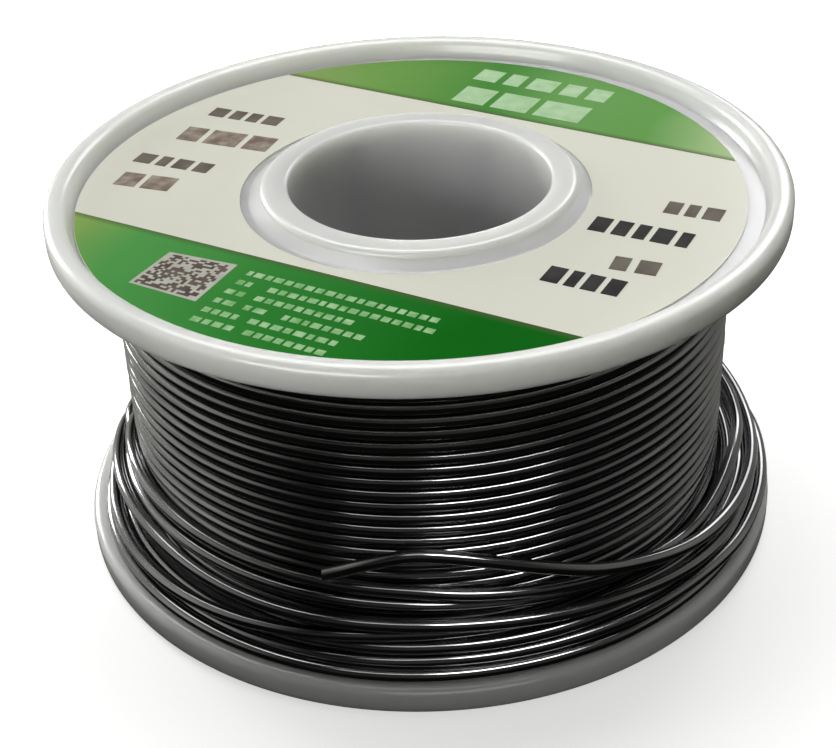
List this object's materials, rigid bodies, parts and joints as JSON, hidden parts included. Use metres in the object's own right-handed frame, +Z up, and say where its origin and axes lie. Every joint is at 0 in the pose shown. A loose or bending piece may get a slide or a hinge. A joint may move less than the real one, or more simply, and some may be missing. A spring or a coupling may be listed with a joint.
{
  "type": "solder wire spool",
  "caption": "Small white flanged reel of bright round wire, with a round label in the recess of each flange, a plain through bore and a loose free end.",
  "frame": {"origin": "centre of the lower flange's underside, on the axis of the bore", "axes": "+Z up the bore towards the flange with the main label; -Y towards the side that the free end lies across; +X to the right seen from there"},
  "size_m": [0.056, 0.056, 0.029],
  "materials": {
    "spool_plastic": "white moulded plastic, smooth, slightly translucent, semi-gloss",
    "label_print": "printed self-adhesive label, satin film over cream and green print",
    "solder": "drawn solder wire, smooth and bright with a grey cast; the alloy is not stated, and tin-lead is assumed"
  },
  "bodies": {
    "reel": {"upper_half": "spool_plastic", "lower_half": "spool_plastic", "top_label": "label_print", "bottom_label": "label_print", "wire_layer_1": "solder", "wire_layer_2": "solder", "wire_layer_3": "solder", "wire_layer_4": "solder", "wire_layer_5": "solder", "loose_turns": "solder", "stray_turn": "solder", "last_turn": "solder"},
    "free_end": {"free_end": "solder"}
  },
  "joints": [
    {"name": "free_end_peel", "type": "hinge", "parent": "reel", "child": "free_end", "pos_m": [0.02594, 0.00365, 0.0059], "axis": [0, 0, 1], "range_deg": [0, 75]}
  ]
}
